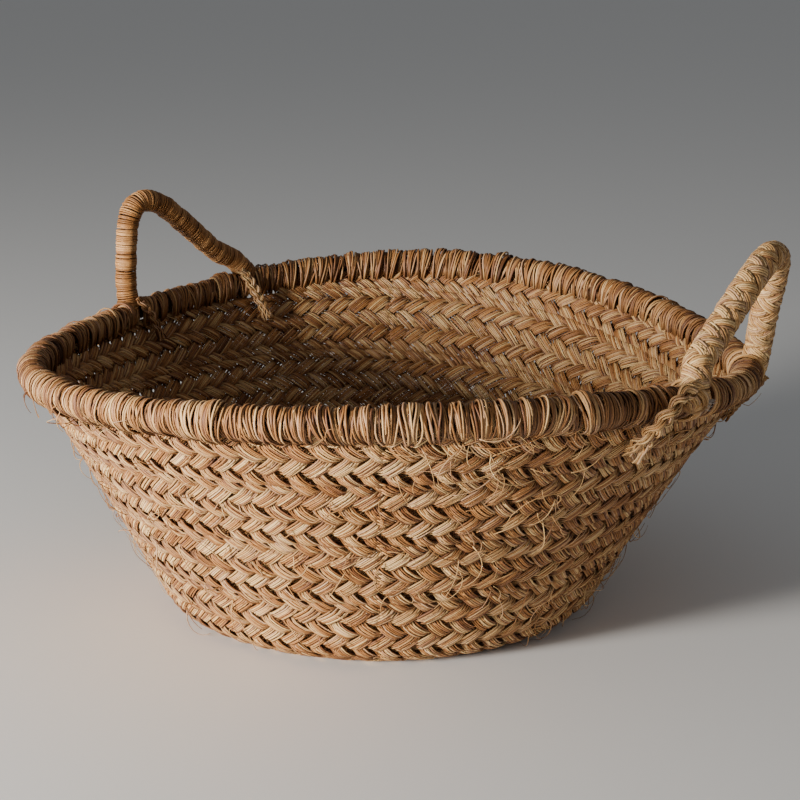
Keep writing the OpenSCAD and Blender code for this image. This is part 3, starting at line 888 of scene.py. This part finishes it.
# Lashing of a foot: loops over the rim in two groups side by side, open below where the wall comes through
def lashFoot(name, foot, finish, node, seed):
    rng = np.random.default_rng(seed)
    rows = lashing["blades"]
    s = np.linspace(-1, 1, 19)[None]
    across = np.linspace(-lashing["spread"], lashing["spread"], rows)
    across = across + lashing["gap"] * np.sign(across + 1e-6) + rng.normal(0, 0.04, rows)
    width = lashing["groupWidth"] / rimRadius
    slant = rng.normal(0, lashing["slant"], rows)[:, None]
    t = math.radians(foot[0]) + width * (across[:, None] * (1 - 0.18 * np.abs(s) ** 2) + slant * s)
    angle = np.radians(lashing["arc"]) * s
    size = 1 + rng.normal(0, 0.02, rows)[:, None]
    lift = lashing["halfWidth"] * np.sin(angle) * size * (1 - 0.35 * np.abs(s) ** 8)
    above = lashing["halfHeight"] * np.cos(angle) * size - 0.002 * np.abs(s) ** 6
    centre = basketPoint(t, rimAlong + above, lift)
    hub = basketPoint(t, np.full_like(t, rimAlong - 0.002), 0.0)
    tone = 0.5 + rng.normal(0, 0.14, rows)[:, None]
    # Painted shade growing towards both ends of each loop, where it enters the wall
    loops = tubes(centre, unit(centre - hub), lashing["bladeHalfWidth"], lashing["bladeHalfThick"], tone,
                  0.5 * np.abs(s), 5)
    return makePiece(name, [loops], finish, [node])


lashFoot("leftHandleNearLashing", leftHandle["near"], leftFinish, "left_handle_near_lashing",
         21)
lashFoot("leftHandleFarLashing", leftHandle["far"], leftFinish, "left_handle_far_lashing",
         22)
lashFoot("rightHandleNearLashing", rightHandle["near"], rightFinish, "right_handle_near_lashing",
         23)
lashFoot("rightHandleFarLashing", rightHandle["far"], rightFinish, "right_handle_far_lashing",
         24)


# Tails of the handle ropes, plaited from three strands
tail = {
    "strands": 3,
    "blades": 8,  # blades in a strand
    "points": 90,
    "window": 23,  # points that are smoothed together
    "lay": 0.019,  # length of one full plait
    "swing": 0.5,  # reach of a strand to either side, as a share of the tail's radius
    "rise": 0.55,  # its rise and fall, as a share of the swing
    "strandRadius": 0.40,  # as a share of the tail's radius
    "brushStart": 0.72,  # where the loose end starts
    "brushSpread": 1.6,
    "bladeHalfWidth": 0.00062 / 0.0046,  # as a share of the tail's radius
    "bladeHalfThick": 0.0005,
}


# Plaited tail: three strands that swing across once while they rise and fall twice, with a brush at the
# end. Stops give direction, distance above the rim line and distance outside the surface
def plaitedTail(name, stops, radius, finish, node, seed, lay=tail["lay"]):
    rng = np.random.default_rng(seed)
    stops = np.array(stops, float)
    u = np.linspace(0, len(stops) - 1, tail["points"])
    smooth = [np.interp(u, np.arange(len(stops)), stops[:, i]) for i in range(3)]
    kernel = np.hanning(tail["window"])
    kernel = kernel / kernel.sum()
    margin = tail["window"] // 2
    smooth = [np.pad(v, margin, mode="reflect", reflect_type="odd") for v in smooth]
    smooth = [np.convolve(v, kernel, "valid") for v in smooth]
    t, m, lift = np.radians(smooth[0]), rimAlong + smooth[1], smooth[2]
    line = basketPoint(t, m, lift)
    up = outward(t, m)
    run = unit(np.gradient(line, axis=0))
    side = unit(np.cross(up, run))
    along = np.concatenate([[0], np.cumsum(np.linalg.norm(np.diff(line, axis=0), axis=1))])
    strand = np.repeat(np.arange(tail["strands"]), tail["blades"])[:, None]
    rows = len(strand)
    swing = 2 * np.pi * (along[None] / lay + strand / tail["strands"])
    brush = np.clip((along / along[-1] - tail["brushStart"]) / (1 - tail["brushStart"]), 0, 1)[None]
    spot = rng.uniform(0, 2 * np.pi, (rows, 1)) + along[None] * 60
    away = np.sqrt(rng.uniform(0.1, 1, (rows, 1))) * radius * tail["strandRadius"]
    away = away * (1 + tail["brushSpread"] * brush)
    wave = (1 - brush) * radius * tail["swing"]
    across = wave * np.sin(swing) + away * np.cos(spot)
    over = wave * tail["rise"] * np.sin(2 * swing) + away * np.sin(spot)
    if lift.mean() > 0:
        over = np.maximum(over, 0.0035 - np.abs(lift[None]))  # stays outside the wall
    centre = line[None] + across[..., None] * side + over[..., None] * up
    tone = 0.62 + rng.normal(0, 0.15, (rows, 1))
    wide = tail["bladeHalfWidth"] * radius
    blades = tubes(centre, np.broadcast_to(up, centre.shape), wide, tail["bladeHalfThick"], tone, 0.1, 4)
    return makePiece(name, [blades], finish, [node])


plaitedTail("rightHandleNearTail",
            [(-12.0, 0.014, 0.004), (-16.0, 0.0145, 0.0080), (-19.3, 0.006, 0.0150), (-20.2, -0.006, 0.0145),
             (-19.8, -0.016, 0.0115), (-19.0, -0.026, 0.0095)],
            0.0062, rightFinish, "right_handle_near_tail", 31, 0.030)
plaitedTail("rightHandleFarTail", [(29.5, 0.004, 0.0125), (29.2, -0.012, 0.0110), (28.5, -0.036, 0.0075)],
            0.0042, rightFinish, "right_handle_far_tail", 32)
plaitedTail("leftHandleFarTail",
            [(154.0, 0.010, -0.0080), (153.0, 0.000, -0.0125), (151.6, -0.014, -0.0105),
             (149.6, -0.034, -0.0075)],
            0.0042, rightFinish, "left_handle_far_tail", 33)
plaitedTail("leftHandleNearTail",
            [(178.5, 0.008, -0.0105), (177.0, -0.008, -0.0110), (175.6, -0.028, -0.0075)],
            0.0036, leftFinish, "left_handle_near_tail", 34)
print("handles made")


# Loose fibres over the wall, and denser in a few tufts
fibres = {
    "scattered": 380,
    "length": (0.008, 0.028),
    "halfWidth": 0.00034,
    "rise": 0.006,  # most that a fibre stands away from the surface
    "tufts": [(-43.9, -0.018), (-39.2, -0.033), (-40.3, -0.099), (-17.5, -0.155), (0.0, -0.146),
              (-28.0, -0.060)],  # direction, and distance above the rim line
    "inTuft": 9,  # fibres in a tuft
    "tuftSpread": 0.007,
    "tuftLength": (0.016, 0.036),
}
meanRadius = 0.2  # turns a length on the wall into an angle


# Loose fibres: short thin arcs that start in a random heading, turn evenly as they go, and leave the
# surface as part of a sine wave
def looseFibres(name, start, along, length, rise, width, material, seed):
    rng = np.random.default_rng(seed)
    count = len(start)
    s = np.linspace(0, 1, 9)[None]
    heading = rng.uniform(0, 2 * np.pi, count)[:, None]
    turn = heading + rng.normal(0, 1.0, count)[:, None] * s
    t = start[:, None] + length[:, None] * s * np.cos(turn) / meanRadius
    m = along[:, None] + length[:, None] * s * np.sin(turn)
    lift = rng.uniform(0.2 * rise, rise, count)[:, None]
    lift = lift * np.sin(np.pi * s * rng.uniform(0.5, 1.0, (count, 1)))
    base = np.where(m > rimAlong - 0.012, 0.0085, 0.0028)
    centre = basketPoint(t, np.minimum(m, rimAlong + 0.008), base + lift)
    centre[..., 2] = np.maximum(centre[..., 2], 0.0006)  # above the ground
    wide = width * (1 - 0.6 * s) * rng.uniform(0.7, 1.3, (count, 1))
    tone = 0.7 + rng.normal(0, 0.15, (count, 1))
    blades = tubes(centre, outward(t, m), wide, wide, tone, 0.0, 4)
    return makePiece(name, [blades], material, [])


fibreRandom = np.random.default_rng(41)
tufts = np.repeat(np.array(fibres["tufts"]), fibres["inTuft"], axis=0)
scatter = fibres["tuftSpread"] * fibreRandom.normal(0, 1, tufts.shape)
fibreStart = np.concatenate([fibreRandom.uniform(0, 2 * np.pi, fibres["scattered"]),
                             np.radians(tufts[:, 0]) + scatter[:, 0] / meanRadius])
fibreAlong = np.concatenate([fibreRandom.uniform(wallStart, rimAlong + 0.004, fibres["scattered"]),
                             rimAlong + tufts[:, 1] + scatter[:, 1]])
fibreLength = np.concatenate([fibreRandom.uniform(*fibres["length"], fibres["scattered"]),
                              fibreRandom.uniform(*fibres["tuftLength"], len(tufts))])
looseFibres("looseFibres", fibreStart, fibreAlong, fibreLength, fibres["rise"], fibres["halfWidth"],
            plaitFinish, 42)

# A small tuft of pale down at the near foot of the right handle
down = {
    "direction": -9.6,
    "above": 0.008,  # distance above the rim line
    "fibres": 90,
    "spread": 0.0022,
    "length": (0.003, 0.008),
    "rise": 0.004,
    "halfWidth": 0.00012,
}
downTurn = down["spread"] * fibreRandom.normal(0, 1, down["fibres"]) / meanRadius
downStart = math.radians(down["direction"]) + downTurn
downAlong = rimAlong + down["above"] + down["spread"] * fibreRandom.normal(0, 1, down["fibres"])
downLength = fibreRandom.uniform(*down["length"], down["fibres"])
looseFibres("paleTuft", downStart, downAlong, downLength, down["rise"], down["halfWidth"], downFinish,
            43)
print("loose fibres made")

# Stage, light and camera
floorHalf = 30
floorCorners = [(-floorHalf, -floorHalf, 0), (floorHalf, -floorHalf, 0), (floorHalf, floorHalf, 0),
                (-floorHalf, floorHalf, 0)]
floorMesh = bpy.data.meshes.new("floor")
floorMesh.from_pydata(floorCorners, [], [(0, 1, 2, 3)])
floor = bpy.data.objects.new("floor", floorMesh)
bpy.context.scene.collection.objects.link(floor)
floorFinish = bpy.data.materials.new("floorFinish")
floorFinish.use_nodes = True
floorShader = floorFinish.node_tree.nodes["Principled BSDF"]
floorShader.inputs["Base Color"].default_value = (0.80, 0.79, 0.77, 1)
floorShader.inputs["Roughness"].default_value = 0.8
floorMesh.materials.append(floorFinish)

light = {
    "world": 0.20,
    "key": 85.0,
    "keySize": 0.40,
    "keyPlace": (1.48, 1.06, 0.37),  # distance to the left, to the front and up, as the camera stands
    "fill": 1.0,
    "fillSize": 1.2,
    "fillPlace": (-1.4, 1.2, 0.9),
    "aim": (0, 0, 0.1),
}
view = {
    "place": (0.6502, -0.9423, 0.4315),
    "yaw": 34,  # degrees to the right of straight on
    "dip": 15.04,  # degrees below level
    "lens": 85.5,
    "sensor": 36,
}
world = bpy.data.worlds.new("studio")
bpy.context.scene.world = world
world.use_nodes = True
sky = world.node_tree.nodes["Background"]
sky.inputs["Color"].default_value = (0.93, 0.96, 1.0, 1)
sky.inputs["Strength"].default_value = light["world"]
yaw = math.radians(view["yaw"])
left = np.array([-math.cos(yaw), -math.sin(yaw), 0])
front = np.array([math.sin(yaw), -math.cos(yaw), 0])
high = np.array([0, 0, 1.0])


# An area light at a place beside the camera's line, turned so that its back points away from the aim
def areaLight(name, place, power, size, colour):
    data = bpy.data.lights.new(name, "AREA")
    data.energy = power
    data.size = size
    data.color = colour
    lamp = bpy.data.objects.new(name, data)
    bpy.context.scene.collection.objects.link(lamp)
    stand = left * place[0] + front * place[1] + high * place[2]
    lamp.location = tuple(stand)
    back = stand - np.array(light["aim"])
    flat = math.hypot(back[0], back[1])
    lamp.rotation_euler = (math.atan2(flat, back[2]), 0, math.atan2(back[0], -back[1]))
    return lamp


areaLight("keyLight", light["keyPlace"], light["key"], light["keySize"], (1.0, 0.97, 0.92))
areaLight("fillLight", light["fillPlace"], light["fill"], light["fillSize"], (0.95, 0.97, 1.0))

cameraData = bpy.data.cameras.new("camera")
cameraData.lens = view["lens"]
cameraData.sensor_width = view["sensor"]
camera = bpy.data.objects.new("camera", cameraData)
bpy.context.scene.collection.objects.link(camera)
camera.location = view["place"]
camera.rotation_euler = (math.radians(90 - view["dip"]), 0, yaw)
bpy.context.scene.camera = camera
print("stage made")
